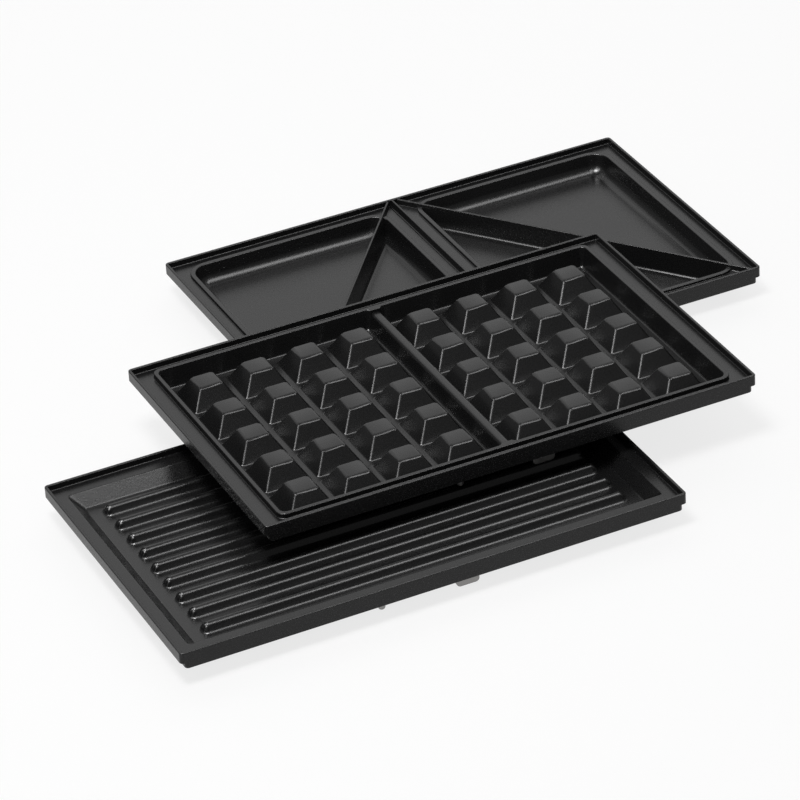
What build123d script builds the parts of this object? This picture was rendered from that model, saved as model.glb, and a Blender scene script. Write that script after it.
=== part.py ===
"""Set of three interchangeable cooking plates for a sandwich maker.

A waffle plate lies across the rims of a grill plate and a sandwich plate. Millimetres, +Z up. The table is
z = 0 and the middle of the whole set is x = y = 0. Each plate is drawn on its own seat, a plane at the top
of its lip.
"""

import os
from math import atan2, degrees

from build123d import *

# Outline shared by the three plates
plate_length = 235.0
plate_width = 146.0
plate_height = 16.0  # from the contact rail's foot to the top of the lip
corner_radius = 1.8
lip_thickness = 1.4
moat_depth = 2.8  # from the top of the lip to the ledge inside it
flange_depth = 5.0  # from the top of the lip to the flange's underside
skirt_depth = 8.0  # from the top of the lip to the skirt's foot
skirt_inset = 2.0  # how far the skirt is set back under the short sides
skirt_wall = 2.5
cast_wall = 2.2

# Waffle plate
waffle_margin_x = 11.0  # from the plate's side to the well, at the bead's crest
waffle_margin_y = 7.4
waffle_bead_width = 1.9
waffle_bead_drop = 0.5  # from the top of the lip to the bead's crest
waffle_floor = 10.3  # from the top of the lip to the well's floor
waffle_draft = 1.6  # how far the well's walls lean in over their height
waffle_corner = 3.0
waffle_bevel = 0.9  # between the well's walls and its floor
divider_foot = 7.2  # width of the divider at the floor
divider_drop = 2.0
divider_round = 1.7  # at the two long edges of the divider's crest
pyramid_columns = 4
pyramid_rows = 5
pyramid_pitch = 24.5
pyramid_offset = 1.0  # how far each group stands in from its well's middle, towards the divider
pyramid_foot = 17.6
pyramid_top = 11.2
pyramid_drop = 1.0
pyramid_edge = 0.9
pyramid_corner = 1.6

# Sandwich plate
well_margin_x = 9.2
well_margin_y = 8.3
well_bead_width = 2.2
well_bead_drop = 1.6
well_floor = 10.6
well_draft = 2.2
well_corner = 8.0
well_fillet = 5.6
strip_width = 18.4  # between the two wells
ridge_drop = 0.2  # from the top of the lip to a ridge's crest
ridge_crest = 0.9  # width of a cutting ridge at its crest
ridge_foot = 5.4  # width of a cutting ridge at the floor
ridge_splay = 4.0  # how far the foot's fillet spreads
ridge_start = (4.5, 4.0)  # from the middle and from the back edge
ridge_end = (4.5, 1.5)  # from the side and from the front edge
strip_ridge_foot = 2.6
strip_ridge_splay = 1.0
well_bevel = 3.8  # round the underside of each well

# Grill plate
pan_margin_x = 7.2
pan_margin_y = 8.7
pan_floor = 8.3
pan_slope = 5.5  # run of the sloped wall
pan_corner = 2.2
pan_fillet = 1.6
rib_count = 9
rib_pitch = 12.75
rib_length = 199.0
rib_width = 7.6  # across the flared foot
rib_height = 3.7
rib_flare_height = 0.7
rib_crown_height = 1.1
rib_flare_lean = 60.0  # degrees from upright
rib_side_lean = 12.0
rib_crown_lean = 50.0

# Contact rail under each plate, which meets the heater
rail_length = 155.2
rail_width = 73.2
rail_band = 7.0
rail_corner = 12.0
rail_gap = 44.0  # opening at the back

# Latch lug and locating pin under the front edge
lug_x = 14.8
lug_width = 10.6
lug_thickness = 2.3
lug_setback = 3.4
lug_corner = 1.8
lug_depth = 13.2  # from the top of the lip to the lug's foot
boss_depth = 8.6
boss_margin = 2.4
tang_width = 6.0  # the lug's upper end, staked in the boss
tang_length = 3.0
pin_x = -25.2
pin_diameter = 3.3
pin_setback = 2.55
pin_depth = 12.1
pin_seat = 4.0  # how far the pin goes into its boss
pin_bevel = 0.9
bore_clearance = 0.06  # around the tang and the pin

# Places of the plates on the table
plate_step = 122.0  # from the grill plate's middle to the sandwich plate's, to the right
plate_gap = 2.5  # between the grill plate and the sandwich plate, front to back
waffle_step = (60.0, 45.0)  # from the grill plate's middle to the waffle plate's

plate_step_back = plate_width + plate_gap
grill_seat = Plane((-plate_step / 2, -plate_step_back / 2, plate_height))
sandwich_seat = Plane((plate_step / 2, plate_step_back / 2, plate_height))
waffle_seat = Plane(grill_seat.origin + Vector(*waffle_step, plate_height))


def slab(seat, top, bottom, length, width, radius, mode=Mode.ADD, centre=(0, 0)):
    """A slab between two depths below the seat, with rounded corners if it has a radius."""
    with BuildSketch(seat.offset(-bottom)) as outline:
        with Locations(centre):
            Rectangle(length, width)
        if radius:
            fillet(outline.vertices(), radius)
    extrude(outline.sketch, amount=bottom - top, mode=mode)


def tapered(seat, top, bottom, length, width, lean, radius, mode=Mode.ADD, centre=(0, 0)):
    """A slab whose sides lean in by the same amount all round on the way down."""
    with BuildSketch(seat.offset(-top)) as outline:
        with Locations(centre):
            Rectangle(length, width)
        if radius:
            fillet(outline.vertices(), radius)
    extrude(outline.sketch, amount=top - bottom, taper=degrees(atan2(lean, bottom - top)), mode=mode)


def edges_at(seat, depth, reach):
    """Edges of the piece in hand that lie flat at this depth, within so far from the plate's middle."""
    level = seat.origin.Z - depth
    flat = edges().filter_by_position(Axis.Z, level - 0.02, level + 0.02)
    middle = seat.origin
    flat = flat.filter_by_position(Axis.X, middle.X - reach[0], middle.X + reach[0])
    return flat.filter_by_position(Axis.Y, middle.Y - reach[1], middle.Y + reach[1])


def rim(seat):
    """Flange, lip, moat and skirt, and the bosses that hold the lug and the pin."""
    slab(seat, 0, flange_depth, plate_length, plate_width, corner_radius)
    skirt_length = plate_length - 2 * skirt_inset
    slab(seat, flange_depth, skirt_depth, skirt_length, plate_width, corner_radius)
    inside = (skirt_length - 2 * skirt_wall, plate_width - 2 * skirt_wall)
    slab(seat, flange_depth, skirt_depth, *inside, 0, Mode.SUBTRACT)
    lip_inside = (plate_length - 2 * lip_thickness, plate_width - 2 * lip_thickness)
    slab(seat, 0, moat_depth, *lip_inside, corner_radius - lip_thickness, Mode.SUBTRACT)
    for middle, width in ((lug_x, lug_width), (pin_x, pin_diameter)):
        back = lug_setback + lug_thickness + boss_margin
        boss = (width + 2 * boss_margin, back - skirt_wall / 2)
        centre = (middle, -plate_width / 2 + (back + skirt_wall / 2) / 2)
        slab(seat, flange_depth - cast_wall / 2, boss_depth, *boss, 0, centre=centre)


def lug_axis():
    return -plate_width / 2 + lug_setback + lug_thickness / 2


def pin_axis():
    return -plate_width / 2 + pin_setback + pin_diameter / 2


def bores(seat):
    """A blind slot for the lug's tang and a blind bore for the pin."""
    with BuildSketch(seat.offset(-boss_depth)) as slot:
        with Locations((lug_x, lug_axis())):
            Rectangle(tang_width + 2 * bore_clearance, lug_thickness + 2 * bore_clearance)
    extrude(slot.sketch, amount=tang_length, mode=Mode.SUBTRACT)
    with BuildSketch(seat.offset(-boss_depth)) as pin:
        with Locations((pin_x, pin_axis())):
            Circle(pin_diameter / 2 + bore_clearance)
    extrude(pin.sketch, amount=pin_seat, mode=Mode.SUBTRACT)


def contact_rail(seat, underside):
    """A flat-footed loop that follows the heater, open at the back where the heater's ends are."""
    with BuildSketch(seat.offset(-plate_height)) as loop:
        RectangleRounded(rail_length + rail_band, rail_width + rail_band, rail_corner + rail_band / 2)
        RectangleRounded(
            rail_length - rail_band,
            rail_width - rail_band,
            rail_corner - rail_band / 2,
            mode=Mode.SUBTRACT,
        )
        with Locations((0, rail_width / 2)):
            Rectangle(rail_gap, 2 * rail_band, mode=Mode.SUBTRACT)
    extrude(loop.sketch, amount=plate_height - underside + cast_wall / 2)


# Latch lugs: one under the front of each plate


def latch_lug(seat):
    """A plate standing on edge, round at its lower corners, with a tang that goes up into the boss."""
    front = Plane(seat.origin + Vector(lug_x, lug_axis() + lug_thickness / 2, 0), (1, 0, 0), (0, -1, 0))
    with BuildSketch(front) as outline:
        with Locations((0, -(boss_depth + lug_depth) / 2)):
            Rectangle(lug_width, lug_depth - boss_depth)
        fillet(outline.vertices().group_by(Axis.Y)[0], lug_corner)
    extrude(outline.sketch, amount=lug_thickness)
    with BuildSketch(seat.offset(-boss_depth)) as tang:
        with Locations((lug_x, lug_axis())):
            Rectangle(tang_width, lug_thickness)
    extrude(tang.sketch, amount=tang_length)


with BuildPart() as grill_latch_lug:
    latch_lug(grill_seat)

with BuildPart() as sandwich_latch_lug:
    latch_lug(sandwich_seat)

with BuildPart() as waffle_latch_lug:
    latch_lug(waffle_seat)


# Locating pins: one beside each lug


def locating_pin(seat):
    """A round pin seated on the end of its bore, with a bevelled tip."""
    with BuildSketch(seat.offset(-pin_depth)) as outline:
        with Locations((pin_x, pin_axis())):
            Circle(pin_diameter / 2)
    extrude(outline.sketch, amount=pin_depth - boss_depth + pin_seat)
    chamfer(edges().group_by(Axis.Z)[0], pin_bevel)


with BuildPart() as grill_locating_pin:
    locating_pin(grill_seat)

with BuildPart() as sandwich_locating_pin:
    locating_pin(sandwich_seat)

with BuildPart() as waffle_locating_pin:
    locating_pin(waffle_seat)


# Grill plate: a shallow pan with sloped walls and long round-ended ribs

pan_length = plate_length - 2 * pan_margin_x
pan_width = plate_width - 2 * pan_margin_y
pan_underside = pan_floor + cast_wall

with BuildPart() as rib:
    with BuildSketch():
        SlotOverall(rib_length, rib_width)
    extrude(amount=rib_flare_height, taper=rib_flare_lean)
    rib_side_height = rib_height - rib_flare_height - rib_crown_height
    extrude(rib.faces().sort_by(Axis.Z)[-1], amount=rib_side_height, taper=rib_side_lean)
    extrude(rib.faces().sort_by(Axis.Z)[-1], amount=rib_crown_height, taper=rib_crown_lean)

with BuildPart() as pan_space:
    tapered(grill_seat, moat_depth, pan_floor, pan_length, pan_width, pan_slope, 0)
    pan_levels = (plate_height - pan_floor + 0.1, plate_height - moat_depth - 0.1)
    fillet(pan_space.edges().filter_by_position(Axis.Z, *pan_levels), pan_corner)
    fillet(pan_space.edges().group_by(Axis.Z)[0], pan_fillet)

with BuildPart() as grill_plate:
    rim(grill_seat)
    pan_body = (pan_length + 2 * cast_wall, pan_width + 2 * cast_wall)
    tapered(grill_seat, moat_depth, pan_underside, *pan_body, pan_slope, 0)
    add(pan_space.part, mode=Mode.SUBTRACT)
    contact_rail(grill_seat, pan_underside)
    with Locations(grill_seat.offset(-pan_floor)):
        with GridLocations(0, rib_pitch, 1, rib_count):
            add(rib.part)
    bores(grill_seat)


# Waffle plate: two wells of pyramids behind one bead, with a divider between them

waffle_length = plate_length - 2 * waffle_margin_x
waffle_width = plate_width - 2 * waffle_margin_y
waffle_underside = waffle_floor + cast_wall
waffle_well = (waffle_length - divider_foot) / 2 + waffle_draft
waffle_well_x = (divider_foot / 2 - waffle_draft + waffle_length / 2) / 2
pyramid_height = waffle_floor - pyramid_drop
pyramid_taper = degrees(atan2((pyramid_foot - pyramid_top) / 2, pyramid_height))
pyramid_x = waffle_well_x - pyramid_offset

with BuildPart() as pyramid:
    with BuildSketch():
        Rectangle(pyramid_foot, pyramid_foot)
    extrude(amount=pyramid_height, taper=pyramid_taper)
    chamfer(pyramid.edges().filter_by_position(Axis.Z, 0.1, pyramid_height - 0.1), pyramid_corner)
    chamfer(pyramid.edges().group_by(Axis.Z)[-1], pyramid_edge)
    with BuildSketch():
        Rectangle(pyramid_foot, pyramid_foot)
    extrude(amount=-cast_wall / 2)

with BuildPart() as pyramid_core:
    with BuildSketch(Plane.XY.offset(-cast_wall)):
        Rectangle(pyramid_foot - 2 * cast_wall, pyramid_foot - 2 * cast_wall)
    extrude(amount=pyramid_height, taper=pyramid_taper)


def divider_width(depth):
    lean = waffle_draft / (waffle_floor - waffle_bead_drop)
    return divider_foot - 2 * lean * (waffle_floor - depth)


divider_front = waffle_seat.origin - Vector(0, waffle_width / 2 - waffle_draft, 0)
divider_plane = Plane(divider_front, (-1, 0, 0), (0, 1, 0))
trim_depth = divider_drop + divider_round

with BuildSketch(divider_plane) as divider:
    with BuildLine():
        Polyline(
            (-divider_foot / 2, -waffle_floor),
            (-divider_width(divider_drop) / 2, -divider_drop),
            (divider_width(divider_drop) / 2, -divider_drop),
            (divider_foot / 2, -waffle_floor),
            close=True,
        )
    make_face()
    fillet(divider.vertices().group_by(Axis.Y)[-1], divider_round)

with BuildPart() as waffle_plate:
    rim(waffle_seat)
    bead = (waffle_length + 2 * waffle_bead_width, waffle_width + 2 * waffle_bead_width)
    slab(waffle_seat, waffle_bead_drop, flange_depth, *bead, waffle_corner + waffle_bead_width / 2)
    body = (waffle_length + 2 * cast_wall, waffle_width + 2 * cast_wall)
    body_corner = waffle_corner + cast_wall
    tapered(waffle_seat, flange_depth, waffle_underside, *body, waffle_draft, body_corner)
    for side in (-1, 1):
        well_centre = (side * waffle_well_x, 0)
        well = (waffle_well, waffle_width, waffle_draft, waffle_corner, Mode.SUBTRACT, well_centre)
        tapered(waffle_seat, waffle_bead_drop, waffle_floor, *well)
    with BuildSketch(divider_plane) as trim:
        with Locations((0, -trim_depth / 2)):
            Rectangle(divider_width(trim_depth), trim_depth)
        add(divider.sketch_local, mode=Mode.SUBTRACT)
    extrude(trim.sketch, amount=waffle_width - 2 * waffle_draft, mode=Mode.SUBTRACT)
    well_reach = (waffle_length / 2, waffle_width / 2)
    chamfer(edges_at(waffle_seat, waffle_floor, well_reach), waffle_bevel)
    pyramid_seat = waffle_seat.offset(-waffle_floor)
    with Locations(pyramid_seat):
        with Locations((-pyramid_x, 0), (pyramid_x, 0)):
            with GridLocations(pyramid_pitch, pyramid_pitch, pyramid_columns, pyramid_rows):
                add(pyramid.part)
    contact_rail(waffle_seat, waffle_underside)
    with Locations(pyramid_seat):
        with Locations((-pyramid_x, 0), (pyramid_x, 0)):
            with GridLocations(pyramid_pitch, pyramid_pitch, pyramid_columns, pyramid_rows):
                add(pyramid_core.part, mode=Mode.SUBTRACT)
    bores(waffle_seat)


# Sandwich plate: two deep wells, each cut in two by a diagonal ridge

wells_length = plate_length - 2 * well_margin_x
well_width = plate_width - 2 * well_margin_y
well_length = (wells_length - strip_width) / 2
well_x = (strip_width + well_length) / 2
well_underside = well_floor + cast_wall
outer_draft = well_draft * (well_underside - flange_depth) / (well_floor - well_bead_drop)

with BuildPart() as well_space:
    for side in (-1, 1):
        space = (well_length, well_width, well_draft, well_corner, Mode.ADD, (side * well_x, 0))
        tapered(sandwich_seat, well_bead_drop, well_floor, *space)
    fillet(well_space.edges().group_by(Axis.Z)[0], well_fillet)

# A cutting ridge runs from the middle of the back to each front corner, narrow on top and splayed below
ridge_from = Vector(ridge_start[0], plate_width / 2 - ridge_start[1])
ridge_to = Vector(plate_length / 2 - ridge_end[0], ridge_end[1] - plate_width / 2)
ridge_way = (ridge_to - ridge_from).normalized()
lip_space = (plate_length - lip_thickness, plate_width - lip_thickness)


def blade_profile(plane, foot, depth, splay):
    """A blade standing on a thin base, with a rounded crest and a fillet at each side of its foot."""
    with BuildSketch(plane) as blade:
        with BuildLine():
            Polyline(
                (-foot / 2 - splay, -depth - 0.5),
                (-foot / 2 - splay, -depth),
                (-foot / 2, -depth),
                (-ridge_crest / 2, 0),
                (ridge_crest / 2, 0),
                (foot / 2, -depth),
                (foot / 2 + splay, -depth),
                (foot / 2 + splay, -depth - 0.5),
                close=True,
            )
        make_face()
        fillet(blade.vertices().group_by(Axis.Y)[-1], ridge_crest * 0.4)
        feet = blade.vertices().filter_by_position(Axis.Y, -depth - 0.01, -depth + 0.01)
        fillet(feet.filter_by_position(Axis.X, -foot / 2 - 0.01, foot / 2 + 0.01), splay * 0.6)
    return blade.sketch


with BuildPart() as ridges:
    overrun = ridge_way * (2 * lip_thickness)
    across = (-ridge_way.Y, ridge_way.X, 0)
    ridge_seat = sandwich_seat.offset(-ridge_drop)
    ridge_plane = Plane(ridge_seat.origin + ridge_from - overrun, across, ridge_way)
    ridge_length = (ridge_to - ridge_from).length + 2 * overrun.length
    ridge_depth = well_floor - ridge_drop
    extrude(blade_profile(ridge_plane, ridge_foot, ridge_depth, ridge_splay), amount=ridge_length)
    mirror(about=Plane(sandwich_seat.origin, (0, 1, 0), (1, 0, 0)))
    strip_plane = Plane(ridge_seat.origin - Vector(0, plate_width / 2, 0), (-1, 0, 0), (0, 1, 0))
    strip_depth = moat_depth - ridge_drop
    strip_blade = blade_profile(strip_plane, strip_ridge_foot, strip_depth, strip_ridge_splay)
    extrude(strip_blade, amount=plate_width)

with BuildPart() as ridge_space:
    add(well_space.part)
    slab(sandwich_seat, 0, moat_depth + cast_wall / 3, *lip_space, corner_radius)
    add(ridges.part, mode=Mode.INTERSECT)

with BuildPart() as sandwich_plate:
    rim(sandwich_seat)
    for side in (-1, 1):
        middle = (side * well_x, 0)
        bead = (well_length + 2 * well_bead_width, well_width + 2 * well_bead_width)
        bead_corner = well_corner + well_bead_width
        slab(sandwich_seat, well_bead_drop, flange_depth, *bead, bead_corner, centre=middle)
    for side in (-1, 1):
        middle = (side * well_x, 0)
        lean = well_draft * (flange_depth - well_bead_drop) / (well_floor - well_bead_drop)
        body = (well_length + 2 * (cast_wall - lean), well_width + 2 * (cast_wall - lean))
        corner = well_corner + cast_wall
        tapered(sandwich_seat, flange_depth, well_underside, *body, outer_draft, corner, centre=middle)
    chamfer(sandwich_plate.edges().group_by(Axis.Z)[0], well_bevel)
    add(well_space.part, mode=Mode.SUBTRACT)
    add(ridge_space.part)
    contact_rail(sandwich_seat, well_underside)
    bores(sandwich_seat)

pieces = {
    "grill_plate": grill_plate,
    "grill_latch_lug": grill_latch_lug,
    "grill_locating_pin": grill_locating_pin,
    "sandwich_plate": sandwich_plate,
    "sandwich_latch_lug": sandwich_latch_lug,
    "sandwich_locating_pin": sandwich_locating_pin,
    "waffle_plate": waffle_plate,
    "waffle_latch_lug": waffle_latch_lug,
    "waffle_locating_pin": waffle_locating_pin,
}
os.makedirs("parts", exist_ok=True)
for label, piece in pieces.items():
    piece.part.label = label
    export_step(piece.part, f"parts/{label}.step")
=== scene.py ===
"""Dresses a set of three non-stick cooking plates and sets them on a plain pale stage."""

import math

import bmesh
import bpy
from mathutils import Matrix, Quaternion, Vector


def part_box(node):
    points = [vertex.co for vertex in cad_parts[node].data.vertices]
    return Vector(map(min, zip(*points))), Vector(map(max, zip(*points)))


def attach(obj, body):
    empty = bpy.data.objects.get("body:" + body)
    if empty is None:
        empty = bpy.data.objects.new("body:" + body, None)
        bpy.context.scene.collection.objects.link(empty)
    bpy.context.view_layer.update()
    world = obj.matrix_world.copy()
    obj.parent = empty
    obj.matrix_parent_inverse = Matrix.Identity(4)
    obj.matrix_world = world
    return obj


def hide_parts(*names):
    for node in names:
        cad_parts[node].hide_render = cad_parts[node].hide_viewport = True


bl_info = {
    "name": "Cooking Plate Set",
    "version": (1, 0, 0),
    "blender": (4, 5, 0),
    "location": "View3D > Sidebar > Plates",
    "description": "Finishes for a grill, a waffle and a sandwich plate, with lugs and pins, on a stage",
    "category": "Object",
}

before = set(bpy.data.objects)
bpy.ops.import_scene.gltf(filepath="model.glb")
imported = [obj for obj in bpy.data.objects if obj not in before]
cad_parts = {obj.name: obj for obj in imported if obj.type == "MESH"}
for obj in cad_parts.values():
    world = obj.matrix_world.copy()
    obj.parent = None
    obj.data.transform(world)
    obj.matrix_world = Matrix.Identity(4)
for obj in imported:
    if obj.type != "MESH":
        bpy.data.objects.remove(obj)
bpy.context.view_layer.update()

PLATES = ("grill", "waffle", "sandwich")

# Edges that the casting and its coating leave soft: depth below the lip's top in millimetres, the least and
# the most that the edge turns in degrees, and which rounding it takes
SOFT_EDGES = {
    "grill": (
        (0.0, 50, 150, "lip"),
        (2.8, 60, 150, "lip"),
        (2.8, 30, 60, "bead"),
        (8.0, 50, 150, "lip"),
        (16.0, 50, 150, "lip"),
    ),
    "waffle": (
        (0.0, 50, 150, "lip"),
        (0.5, 50, 150, "bead"),
        (2.8, 50, 150, "lip"),
        (8.0, 50, 150, "lip"),
        (16.0, 50, 150, "lip"),
    ),
    "sandwich": (
        (0.0, 50, 150, "lip"),
        (1.6, 50, 150, "bead"),
        (2.8, 50, 150, "lip"),
        (8.0, 50, 150, "lip"),
        (16.0, 50, 150, "lip"),
    ),
}

# Angles in degrees: an edge that turns more than the first stays crisp after the rounding, an edge of a lug
# or a pin that turns by an angle between the next two is rounded, and faces that turn less than the last are
# one flat
CRISP_ANGLE = 50
CUT_EDGE = (30, 150)
FLAT_ANGLE = 0.5

# The least height of a normal by which a face looks up
UPWARD = 0.9

# How near two places must be to count as one, in metres: as corners of a mesh, as an edge's height, and as
# the place of a corner that is to be moved
SAME_CORNER = 0.000002
SAME_HEIGHT = 0.00002
CLOSE = 0.00003

# The waffle plate's two groups of pyramids, in metres about the plate's middle and below its lip
PYRAMID_GROUP = 0.05325
PYRAMID_PITCH = 0.0245
PYRAMID_COLUMNS = 4
PYRAMID_ROWS = 5
PYRAMID_HALF_FOOT = 0.0088
PYRAMID_TOP_DEPTH = 0.001
PYRAMID_EDGE = 0.001
WAFFLE_FLOOR = 0.0103

# The grill plate's ribs, in metres: where their round ends begin, and for each height above the pan's floor
# the height that the casting's fillets move it to, with how far they move it outwards
RIB_PITCH = 0.01275
RIB_COUNT = 9
RIB_STRAIGHT = 0.0957
RIB_HALF_FOOT = 0.0038
RIB_HEIGHT = 0.0037
PAN_FLOOR = 0.0083
RIB_LEVELS = (
    (0.0, 0.0, 0.0006),
    (0.0007, 0.0008, 0.0),
    (0.0026, 0.0029, -0.0001),
    (RIB_HEIGHT, 0.0039, 0.0),
)

# The blunt noses of the ribs: how far they reach past the straight part, how high they begin, how much
# shorter they are for each metre of height, and how much of the height's square is lost at the tip
NOSE_REACH = 0.003
NOSE_FOOT = 0.0008
NOSE_DRAFT = 0.16
NOSE_DROP = 0.9

# Pebbles: how much finer their grain is than they are, its share against theirs, and how soft they are
GRAIN_FINENESS = 1.7
PEBBLE_SHARE = 0.6
PEBBLE_SOFTNESS = 0.6

# Coating: its pebbles' darkest and lightest shades as shares of the colour, its index of refraction, its
# patches on each metre, and how much these and the pebbles change its roughness
COATING_SHADES = (0.72, 1.3)
COATING_INDEX = 1.35
COATING_PATCHES = 16.0
COATING_UNEVENNESS = 0.12
COATING_SPECKLE = 0.16

# Steel: pebbles on each metre, how high they are and how much of that height shows, patches on each metre,
# how much these change its roughness, and the faces across a rounded edge
STEEL_PEBBLES = 2500.0
STEEL_DEPTH = 0.00001
STEEL_RELIEF = 0.5
STEEL_PATCHES = 500.0
STEEL_UNEVENNESS = 0.3
STEEL_STEPS = 2

# How much more a large face counts than a small one beside it in the smooth shading
FACE_WEIGHT = 80

# Stage: the floor's half side in metres, how much of the floor is white to the camera and to a gloss, the
# strength of the room's light, which is 1 to the camera, the width of the camera's sensor in millimetres, and
# the nearest and the farthest that the camera sees in metres
FLOOR_REACH = 8.0
FLOOR_WHITE = 0.78
ROOM_LIGHT = 0.28
SENSOR_WIDTH = 36.0
CAMERA_RANGE = (0.05, 50.0)

# Lamps: azimuth from the camera's and elevation in degrees, distance from the set and the two sides in
# metres, power in watts, and whether the lamp is a card that is there for the reflections alone
LAMPS = {
    "back softbox": (180, 36, 1.5, (2.0, 1.2), 8.0, False),
    "key softbox": (-36, 72, 1.4, (0.45, 0.45), 11.0, False),
    "spark card": (-36, 72, 1.35, (0.36, 0.36), 28.0, True),
    "right card": (76, 66, 1.4, (1.0, 0.4), 14.0, True),
    "left card": (-32, 44, 1.5, (0.3, 1.0), 7.0, True),
    "side card": (-58, 51, 1.5, (0.5, 0.35), 11.0, True),
}


# Settings


class PlateSettings(bpy.types.PropertyGroup):
    """Rounding and coating of the three castings."""

    lip_rounding: bpy.props.FloatProperty(
        name="Lip rounding",
        description="Softness of the lip, the moat's corners and the skirt's foot",
        default=0.00038,
        min=0.0,
        precision=5,
        unit="LENGTH",
    )
    bead_rounding: bpy.props.FloatProperty(
        name="Bead rounding",
        description="Softness of the beads round the wells and of the pan's mouth",
        default=0.00035,
        min=0.0,
        precision=5,
        unit="LENGTH",
    )
    foot_rise: bpy.props.FloatProperty(
        name="Foot rise",
        description="Height of the hollow edge round each pyramid's foot",
        default=0.0006,
        min=0.0,
        precision=5,
        unit="LENGTH",
    )
    foot_run: bpy.props.FloatProperty(
        name="Foot run",
        description="Width of the hollow edge round each pyramid's foot",
        default=0.0009,
        min=0.0,
        precision=5,
        unit="LENGTH",
    )
    pyramid_flare: bpy.props.FloatProperty(
        name="Pyramid flare",
        description="How far the fillets widen each side of a pyramid's foot",
        default=0.0022,
        precision=5,
        unit="LENGTH",
    )
    corner_share: bpy.props.FloatProperty(
        name="Corner share",
        description="How much of the pyramids' slanted corners is kept",
        default=0.75,
        subtype="FACTOR",
    )
    rounding_steps: bpy.props.IntProperty(
        name="Rounding steps", description="Faces across each rounded edge", default=3, min=1, max=6
    )
    colour: bpy.props.FloatVectorProperty(
        name="Coating colour",
        description="The non-stick coating",
        subtype="COLOR",
        size=3,
        min=0.0,
        max=1.0,
        default=(0.0068, 0.0068, 0.007),
    )
    roughness: bpy.props.FloatProperty(
        name="Coating roughness", description="Sheen of the coating", default=0.28, subtype="FACTOR"
    )
    grain_size: bpy.props.FloatProperty(
        name="Grain size",
        description="Width of one pebble of the coating",
        default=0.0012,
        precision=5,
        unit="LENGTH",
    )
    grain_depth: bpy.props.FloatProperty(
        name="Grain depth",
        description="Height of the pebbles",
        default=0.000018,
        precision=6,
        unit="LENGTH",
    )


class FittingSettings(bpy.types.PropertyGroup):
    """Finish of the bare metal lugs and pins."""

    rounding: bpy.props.FloatProperty(
        name="Edge rounding", description="Radius on cut edges", default=0.0005, precision=5, unit="LENGTH"
    )
    colour: bpy.props.FloatVectorProperty(
        name="Steel colour",
        description="Bare steel",
        subtype="COLOR",
        size=3,
        min=0.0,
        max=1.0,
        default=(0.24, 0.235, 0.23),
    )
    roughness: bpy.props.FloatProperty(
        name="Steel roughness", description="Polish of the steel", default=0.34, subtype="FACTOR"
    )


class StageSettings(bpy.types.PropertyGroup):
    """Floor, lamps and camera."""

    floor_colour: bpy.props.FloatVectorProperty(
        name="Floor colour",
        description="The pale floor",
        subtype="COLOR",
        size=3,
        min=0.0,
        max=1.0,
        default=(0.95, 0.95, 0.95),
    )
    azimuth: bpy.props.FloatProperty(
        name="Camera azimuth",
        description="Direction that the camera looks in, from +Y",
        default=math.radians(-24.41),
        subtype="ANGLE",
    )
    elevation: bpy.props.FloatProperty(
        name="Camera elevation",
        description="Height of the camera above the horizon",
        default=math.radians(31.76),
        subtype="ANGLE",
    )
    roll: bpy.props.FloatProperty(
        name="Camera roll",
        description="Turn of the camera about its own axis",
        default=math.radians(-3.41),
        subtype="ANGLE",
    )
    distance: bpy.props.FloatProperty(
        name="Camera distance",
        description="From the camera to the point that it looks at",
        default=2.01445,
        unit="LENGTH",
    )
    lens: bpy.props.FloatProperty(
        name="Focal length", description="In millimetres on a 36 mm sensor", default=203.0, unit="CAMERA"
    )
    aim: bpy.props.FloatVectorProperty(
        name="Aim",
        description="The point that the camera looks at",
        subtype="TRANSLATION",
        size=3,
        default=(-0.00462, 0.00607, 0.0),
    )


# Materials


def new_group(name, inputs, outputs):
    """A shader node group with named float sockets and its two end nodes."""
    group = bpy.data.node_groups.new(name, "ShaderNodeTree")
    for socket, value in inputs:
        made = group.interface.new_socket(socket, in_out="INPUT", socket_type="NodeSocketFloat")
        made.default_value = value
    for socket in outputs:
        group.interface.new_socket(socket, in_out="OUTPUT", socket_type="NodeSocketFloat")
    return group, group.nodes.new("NodeGroupInput"), group.nodes.new("NodeGroupOutput")


def math_node(group, operation, first, second):
    """A Math node, with sockets linked and numbers set."""
    node = group.nodes.new("ShaderNodeMath")
    node.operation = operation
    for socket, value in zip(node.inputs, (first, second)):
        if isinstance(value, (int, float)):
            socket.default_value = value
        else:
            group.links.new(value, socket)
    return node.outputs[0]


def noise(group, scale, detail, coordinates):
    """A noise texture on the object's own coordinates, with its scale linked."""
    node = group.nodes.new("ShaderNodeTexNoise")
    node.inputs["Detail"].default_value = detail
    group.links.new(scale, node.inputs["Scale"])
    group.links.new(coordinates, node.inputs["Vector"])
    return node.outputs["Fac"]


def pebble_group():
    """Fine round pebbles with a finer grain over them, as sprayed coatings and cast metal have."""
    group, start, end = new_group("Pebbles", (("Per metre", 800.0),), ("Height", "Speckle"))
    place = group.nodes.new("ShaderNodeTexCoord").outputs["Object"]
    cells = group.nodes.new("ShaderNodeTexVoronoi")
    cells.feature = "SMOOTH_F1"
    cells.inputs["Smoothness"].default_value = PEBBLE_SOFTNESS
    group.links.new(start.outputs["Per metre"], cells.inputs["Scale"])
    group.links.new(place, cells.inputs["Vector"])
    finer = math_node(group, "MULTIPLY", start.outputs["Per metre"], GRAIN_FINENESS)
    fine = noise(group, finer, 3.0, place)
    round_tops = math_node(group, "SUBTRACT", 1.0, cells.outputs["Distance"])
    height = math_node(group, "ADD", math_node(group, "MULTIPLY", round_tops, PEBBLE_SHARE), fine)
    group.links.new(height, end.inputs["Height"])
    group.links.new(fine, end.inputs["Speckle"])
    return group


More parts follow.
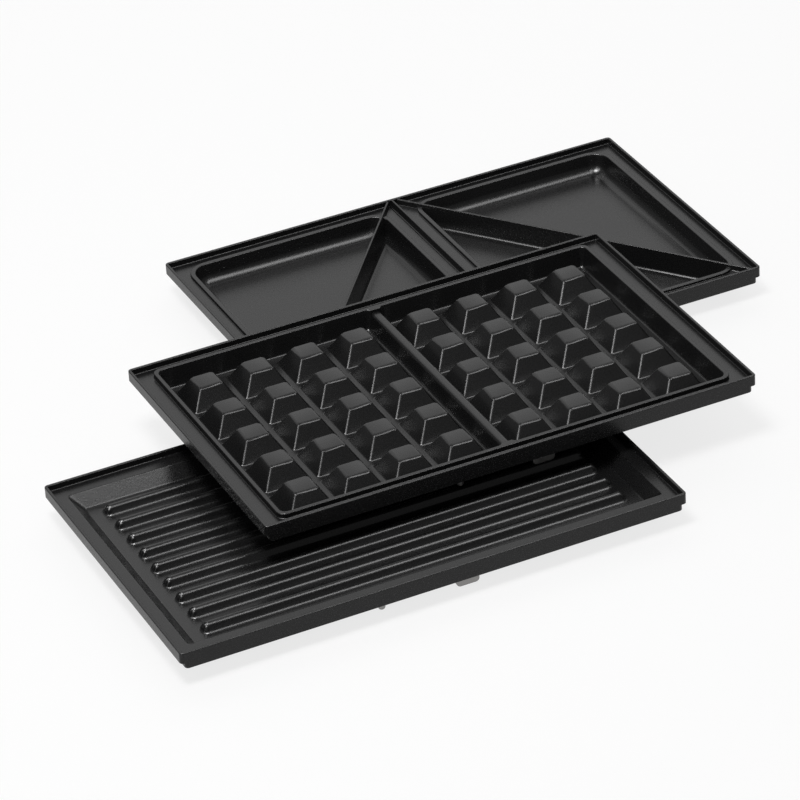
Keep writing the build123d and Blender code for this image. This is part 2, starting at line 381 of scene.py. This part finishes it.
def mottle_group():
    """Slow uneven patches, as handling and wiping leave on a surface."""
    group, start, end = new_group("Mottle", (("Per metre", 14.0), ("Amount", 0.1)), ("Offset",))
    place = group.nodes.new("ShaderNodeTexCoord").outputs["Object"]
    cloud = noise(group, start.outputs["Per metre"], 4.0, place)
    swing = math_node(group, "SUBTRACT", cloud, 0.5)
    group.links.new(math_node(group, "MULTIPLY", swing, start.outputs["Amount"]), end.inputs["Offset"])
    return group


def group_node(tree, group):
    """A node that holds a group."""
    node = tree.nodes.new("ShaderNodeGroup")
    node.node_tree = group
    return node


def add_bump(tree, height, strength, depth, shader):
    """Raise the shader's surface by a height from nought to one, over this depth."""
    bump = tree.nodes.new("ShaderNodeBump")
    bump.inputs["Strength"].default_value = strength
    bump.inputs["Distance"].default_value = depth
    tree.links.new(height, bump.inputs["Height"])
    tree.links.new(bump.outputs["Normal"], shader.inputs["Normal"])


def new_material(name, colour, viewport_roughness):
    """A material with its Principled shader, shown in its own colour in the viewport."""
    material = bpy.data.materials.new(name)
    material.use_nodes = True
    material.diffuse_color = (*colour, 1.0)
    material.roughness = viewport_roughness
    return material, material.node_tree, material.node_tree.nodes["Principled BSDF"]


def shared_group(name, maker):
    """The node group of this name, made on first use."""
    return bpy.data.node_groups.get(name) or maker()


def coating_material(settings):
    """Satin black non-stick coating with fine pebbles."""
    name = "Non-stick coating"
    if name in bpy.data.materials:
        return bpy.data.materials[name]
    material, tree, shader = new_material(name, settings.colour, settings.roughness)
    pebbles = group_node(tree, shared_group("Pebbles", pebble_group))
    pebbles.inputs["Per metre"].default_value = 1 / settings.grain_size
    mottle = group_node(tree, shared_group("Mottle", mottle_group))
    mottle.inputs["Per metre"].default_value = COATING_PATCHES
    mottle.inputs["Amount"].default_value = COATING_UNEVENNESS
    rough = math_node(tree, "ADD", mottle.outputs["Offset"], settings.roughness)
    swing = math_node(tree, "SUBTRACT", pebbles.outputs["Speckle"], 0.5)
    speckle = math_node(tree, "MULTIPLY", swing, COATING_SPECKLE)
    tree.links.new(math_node(tree, "ADD", rough, speckle), shader.inputs["Roughness"])
    shade = tree.nodes.new("ShaderNodeMix")
    shade.data_type = "RGBA"
    for socket, share in zip("AB", COATING_SHADES):
        shade.inputs[socket].default_value = (*[share * c for c in settings.colour], 1.0)
    tree.links.new(pebbles.outputs["Speckle"], shade.inputs["Factor"])
    tree.links.new(shade.outputs["Result"], shader.inputs["Base Color"])
    add_bump(tree, pebbles.outputs["Height"], 1.0, settings.grain_depth, shader)
    shader.inputs["IOR"].default_value = COATING_INDEX
    return material


def steel_material(settings):
    """Bare steel, rolled and lightly scuffed."""
    name = "Bare steel"
    if name in bpy.data.materials:
        return bpy.data.materials[name]
    material, tree, shader = new_material(name, settings.colour, settings.roughness)
    shader.inputs["Base Color"].default_value = (*settings.colour, 1.0)
    shader.inputs["Metallic"].default_value = 1.0
    mottle = group_node(tree, shared_group("Mottle", mottle_group))
    mottle.inputs["Per metre"].default_value = STEEL_PATCHES
    mottle.inputs["Amount"].default_value = STEEL_UNEVENNESS
    rough = math_node(tree, "ADD", mottle.outputs["Offset"], settings.roughness)
    tree.links.new(rough, shader.inputs["Roughness"])
    pebbles = group_node(tree, shared_group("Pebbles", pebble_group))
    pebbles.inputs["Per metre"].default_value = STEEL_PEBBLES
    add_bump(tree, pebbles.outputs["Height"], STEEL_RELIEF, STEEL_DEPTH, shader)
    return material


# Pieces


def merged_copy(node):
    """A copy of a CAD node's mesh, merged."""
    shape = bmesh.new()
    shape.from_mesh(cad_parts[node].data)
    bmesh.ops.remove_doubles(shape, verts=shape.verts, dist=SAME_CORNER)
    return shape


def make_flats_whole(shape):
    """Join the triangles of each flat area."""
    flat = math.radians(FLAT_ANGLE)
    bmesh.ops.dissolve_limit(shape, angle_limit=flat, verts=shape.verts, edges=shape.edges)


def open_floor(shape, level):
    """Take out the floor that lies at this height, and give the edges that it ended at."""
    upward = [f for f in shape.faces if f.normal.z > UPWARD]
    floor = [f for f in upward if all(abs(v.co.z - level) < CLOSE for v in f.verts)]
    within = set(floor)
    rim = [e for e in shape.edges if sum(f in within for f in e.link_faces) == 1]
    bmesh.ops.delete(shape, geom=floor, context="FACES_KEEP_BOUNDARY")
    return rim


def fill_floor(shape, rim):
    """Lay the floor again, up to these edges."""
    bmesh.ops.triangle_fill(shape, use_beauty=True, edges=rim, normal=(0, 0, 1))


def soften(shape, chosen, width, steps):
    """Round the chosen edges."""
    bmesh.ops.bevel(
        shape,
        geom=chosen,
        offset=width,
        offset_type="OFFSET",
        affect="EDGES",
        segments=steps,
        profile=0.5,
        clamp_overlap=False,
        material=-1,
    )


def turning_edges(shape, low, high):
    """Edges whose two faces turn by an angle between these, in degrees."""
    low, high = math.radians(low), math.radians(high)
    return [e for e in shape.edges if len(e.link_faces) == 2 and low < e.calc_face_angle() < high]


def edges_at_depth(shape, top, depth, low, high):
    """Turning edges that lie flat at this depth below the top, in millimetres."""
    level = top - depth / 1000
    edges = turning_edges(shape, low, high)
    return [e for e in edges if all(abs(v.co.z - level) < SAME_HEIGHT for v in e.verts)]


def nearest_place(value, pitch, count):
    """The nearest of a row of evenly spaced places about nought."""
    first = -(count - 1) / 2
    step = min(max(round(value / pitch - first), 0), count - 1)
    return (first + step) * pitch


def nearest_pyramid(place):
    """The middle of the pyramid that is nearest to this place, and how far the place is from it."""
    group = math.copysign(PYRAMID_GROUP, place.x)
    across = group + nearest_place(place.x - group, PYRAMID_PITCH, PYRAMID_COLUMNS)
    along = nearest_place(place.y, PYRAMID_PITCH, PYRAMID_ROWS)
    return (across, along), (place.x - across, place.y - along)


def widen_pyramid(vertex, middle, outward, corner_share=1.0):
    """Move a vertex away from its pyramid's middle, and keep this share of the slanted corner."""
    centre, offsets = nearest_pyramid(vertex.co - middle)
    reach = max(abs(offset) for offset in offsets)
    cut = (reach - min(abs(offset) for offset in offsets)) * corner_share
    wide = reach + outward
    for axis, offset in enumerate(offsets):
        moved = wide if abs(offset) > reach - CLOSE else wide - cut
        vertex.co[axis] = middle[axis] + centre[axis] + math.copysign(moved, offset)


def flare_pyramids(shape, middle, top, rim, settings):
    """Widen the pyramids' feet, with a hollow edge, tighten their corners, and give the floor's new rim."""
    feet = set()
    flare = settings.pyramid_flare - settings.foot_run / 2
    for vertex in shape.verts:
        offsets = nearest_pyramid(vertex.co - middle)[1]
        if max(abs(offset) for offset in offsets) > PYRAMID_HALF_FOOT + CLOSE:
            continue
        depth = top - vertex.co.z
        if abs(depth - WAFFLE_FLOOR) < CLOSE:
            feet.add(vertex)
            widen_pyramid(vertex, middle, flare, settings.corner_share)
        elif -CLOSE < depth - PYRAMID_TOP_DEPTH < PYRAMID_EDGE:
            widen_pyramid(vertex, middle, 0.0, settings.corner_share)
    edges = [e for e in rim if all(v in feet for v in e.verts)]
    walls = [e for e in rim if e not in edges]
    made = bmesh.ops.extrude_edge_only(shape, edges=edges)["geom"]
    for vertex in feet:
        vertex.co.z += settings.foot_rise
    for vertex in (g for g in made if isinstance(g, bmesh.types.BMVert)):
        widen_pyramid(vertex, middle, settings.foot_run)
    return walls + [g for g in made if isinstance(g, bmesh.types.BMEdge)]


def between_levels(height):
    """The height and the outward move that the rib's fillets give to this height."""
    for low, high in zip(RIB_LEVELS, RIB_LEVELS[1:]):
        if height <= high[0] + CLOSE:
            share = (height - low[0]) / (high[0] - low[0])
            return [a + share * (b - a) for a, b in zip(low[1:], high[1:])]
    raise ValueError("No level of the ribs holds this height")


def shape_ribs(shape, middle, top):
    """Widen the fillets along the ribs' feet, and bring their ends down in a blunt nose."""
    for vertex in shape.verts:
        place = vertex.co - middle
        height = PAN_FLOOR - (top - vertex.co.z)
        centre = nearest_place(place.y, RIB_PITCH, RIB_COUNT)
        across = place.y - centre
        beyond = max(abs(place.x) - RIB_STRAIGHT, 0.0)
        spread = math.hypot(beyond, across)
        if spread > RIB_HALF_FOOT + CLOSE or not -CLOSE < height < RIB_HEIGHT + CLOSE:
            continue
        height, outward = between_levels(height)
        tip, side = beyond / spread, abs(across) / spread
        wide, far = side * (spread + outward), tip * (spread + outward)
        if height > NOSE_FOOT - CLOSE:
            wide = math.sqrt(side) * (spread + outward)
            far = math.sqrt(tip) * (NOSE_REACH - NOSE_DRAFT * (height - NOSE_FOOT))
            height = NOSE_FOOT + (height - NOSE_FOOT) * math.sqrt(1 - NOSE_DROP * tip)
        vertex.co.y = middle.y + centre + math.copysign(wide, across)
        if beyond > CLOSE:
            vertex.co.x = middle.x + math.copysign(RIB_STRAIGHT + far, place.x)
        vertex.co.z = top - PAN_FLOOR + height


def finish_piece(shape, node, body, material):
    """The shape as a smooth piece that stands for one CAD node and rides on its body."""
    for face in shape.faces:
        face.smooth = True
    for edge in turning_edges(shape, CRISP_ANGLE, 180):
        edge.smooth = False
    mesh = bpy.data.meshes.new(node.replace("_", " "))
    shape.to_mesh(mesh)
    shape.free()
    mesh.materials.append(material)
    piece = bpy.data.objects.new(f"dressed_{node}", mesh)
    bpy.context.scene.collection.objects.link(piece)
    even = piece.modifiers.new("Even normals", "WEIGHTED_NORMAL")
    even.weight = FACE_WEIGHT
    even.keep_sharp = True
    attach(piece, body)
    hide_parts(node)


class PLATES_OT_plates(bpy.types.Operator):
    """Make the three coated castings with rounded edges"""

    bl_idname = "plates.plates"
    bl_label = "Plates"

    def execute(self, context):
        settings = context.scene.plate_settings
        coating = coating_material(settings)
        widths = {"lip": settings.lip_rounding, "bead": settings.bead_rounding}
        for plate in PLATES:
            node = f"{plate}_plate"
            shape = merged_copy(node)
            low_corner, high_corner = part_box(node)
            middle = (Vector(low_corner) + Vector(high_corner)) / 2
            top = high_corner[2]
            if plate == "waffle":
                rim = open_floor(shape, top - WAFFLE_FLOOR)
                fill_floor(shape, flare_pyramids(shape, middle, top, rim, settings))
            elif plate == "grill":
                rim = open_floor(shape, top - PAN_FLOOR)
                shape_ribs(shape, middle, top)
                fill_floor(shape, rim)
            bmesh.ops.recalc_face_normals(shape, faces=shape.faces)
            make_flats_whole(shape)
            for depth, low, high, kind in SOFT_EDGES[plate]:
                chosen = edges_at_depth(shape, top, depth, low, high)
                soften(shape, chosen, widths[kind], settings.rounding_steps)
            finish_piece(shape, node, plate, coating)
        return {"FINISHED"}


class PLATES_OT_fittings(bpy.types.Operator):
    """Make the bare steel latch lugs and locating pins"""

    bl_idname = "plates.fittings"
    bl_label = "Lugs and pins"

    def execute(self, context):
        settings = context.scene.fitting_settings
        steel = steel_material(settings)
        for plate in PLATES:
            for fitting in ("latch_lug", "locating_pin"):
                node = f"{plate}_{fitting}"
                shape = merged_copy(node)
                make_flats_whole(shape)
                soften(shape, turning_edges(shape, *CUT_EDGE), settings.rounding, STEEL_STEPS)
                finish_piece(shape, node, plate, steel)
        return {"FINISHED"}


# Stage


def floor_material(colour):
    """Pale and matt, and lifted to white where the camera or a gloss sees it, with the shadow kept."""
    material, tree, shader = new_material("Pale floor", colour, 1.0)
    shader.inputs["Base Color"].default_value = (*colour, 1.0)
    shader.inputs["Roughness"].default_value = 1.0
    shader.inputs["Specular IOR Level"].default_value = 0.0
    glow = tree.nodes.new("ShaderNodeEmission")
    glow.inputs["Strength"].default_value = 1.0
    rays = tree.nodes.new("ShaderNodeLightPath")
    seen = math_node(tree, "MAXIMUM", rays.outputs["Is Camera Ray"], rays.outputs["Is Glossy Ray"])
    share = math_node(tree, "MULTIPLY", seen, FLOOR_WHITE)
    mix = tree.nodes.new("ShaderNodeMixShader")
    tree.links.new(share, mix.inputs["Fac"])
    tree.links.new(shader.outputs["BSDF"], mix.inputs[1])
    tree.links.new(glow.outputs["Emission"], mix.inputs[2])
    tree.links.new(mix.outputs["Shader"], tree.nodes["Material Output"].inputs["Surface"])
    return material


def add_lamp(name, place, size, watts, only_gloss):
    """A soft lamp that faces the set, or a card that is there for the reflections alone."""
    light = bpy.data.lights.new(name, "AREA")
    light.shape = "RECTANGLE"
    light.size, light.size_y = size
    light.energy = watts
    lamp = bpy.data.objects.new(name, light)
    bpy.context.scene.collection.objects.link(lamp)
    lamp.location = place
    lamp.visible_diffuse = not only_gloss
    lamp.rotation_mode = "QUATERNION"
    lamp.rotation_quaternion = (-place).to_track_quat("-Z", "Y")


def round_the_set(azimuth, elevation, distance):
    """The place at this distance from the set, seen from it in this direction."""
    across = math.cos(elevation)
    return Vector((math.sin(azimuth) * across, -math.cos(azimuth) * across, math.sin(elevation))) * distance


class PLATES_OT_stage(bpy.types.Operator):
    """Make the floor, the lamps, the surroundings and the camera"""

    bl_idname = "plates.stage"
    bl_label = "Stage"

    def execute(self, context):
        settings = context.scene.stage_settings
        ground = bmesh.new()
        bmesh.ops.create_grid(ground, x_segments=1, y_segments=1, size=FLOOR_REACH)
        mesh = bpy.data.meshes.new("floor")
        ground.to_mesh(mesh)
        ground.free()
        mesh.materials.append(floor_material(settings.floor_colour))
        floor = bpy.data.objects.new("floor", mesh)
        context.scene.collection.objects.link(floor)

        for name, (azimuth, elevation, distance, size, watts, only_gloss) in LAMPS.items():
            direction = settings.azimuth + math.radians(azimuth)
            place = round_the_set(direction, math.radians(elevation), distance)
            add_lamp(name, place, size, watts, only_gloss)

        world = bpy.data.worlds.new("Pale room")
        world.use_nodes = True
        context.scene.world = world
        tree = world.node_tree
        background = tree.nodes["Background"]
        background.inputs["Color"].default_value = (1.0, 1.0, 1.0, 1.0)
        rays = tree.nodes.new("ShaderNodeLightPath")
        lift = math_node(tree, "MULTIPLY", rays.outputs["Is Camera Ray"], 1 - ROOM_LIGHT)
        tree.links.new(math_node(tree, "ADD", lift, ROOM_LIGHT), background.inputs["Strength"])

        camera = bpy.data.objects.new("camera", bpy.data.cameras.new("camera"))
        context.scene.collection.objects.link(camera)
        back = round_the_set(settings.azimuth, settings.elevation, 1.0)
        camera.location = Vector(settings.aim) + back * settings.distance
        camera.rotation_mode = "QUATERNION"
        level = (-back).to_track_quat("-Z", "Y")
        camera.rotation_quaternion = level @ Quaternion((0, 0, 1), settings.roll)
        camera.data.lens = settings.lens
        camera.data.sensor_width = SENSOR_WIDTH
        camera.data.clip_start, camera.data.clip_end = CAMERA_RANGE
        context.scene.camera = camera
        context.scene.view_settings.view_transform = "Standard"
        return {"FINISHED"}


class PLATES_PT_panel(bpy.types.Panel):
    """Lists the steps that dress the plates"""

    bl_idname = "PLATES_PT_panel"
    bl_label = "Cooking Plates"
    bl_space_type = "VIEW_3D"
    bl_region_type = "UI"
    bl_category = "Plates"

    def draw(self, context):
        for settings, operator in (
            ("plate_settings", "plates.plates"),
            ("fitting_settings", "plates.fittings"),
            ("stage_settings", "plates.stage"),
        ):
            box = self.layout.box()
            group = getattr(context.scene, settings)
            for name in group.__annotations__:
                box.prop(group, name)
            box.operator(operator)


CLASSES = (
    PlateSettings,
    FittingSettings,
    StageSettings,
    PLATES_OT_plates,
    PLATES_OT_fittings,
    PLATES_OT_stage,
    PLATES_PT_panel,
)


def register():
    """Make the settings, steps and panel known."""
    for item in CLASSES:
        bpy.utils.register_class(item)
    bpy.types.Scene.plate_settings = bpy.props.PointerProperty(type=PlateSettings)
    bpy.types.Scene.fitting_settings = bpy.props.PointerProperty(type=FittingSettings)
    bpy.types.Scene.stage_settings = bpy.props.PointerProperty(type=StageSettings)


def unregister():
    """Take the settings, steps and panel away again."""
    del bpy.types.Scene.stage_settings
    del bpy.types.Scene.fitting_settings
    del bpy.types.Scene.plate_settings
    for item in reversed(CLASSES):
        bpy.utils.unregister_class(item)


def main():
    """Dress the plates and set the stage."""
    register()
    bpy.ops.plates.plates()
    bpy.ops.plates.fittings()
    bpy.ops.plates.stage()


if __name__ == "__main__":
    main()
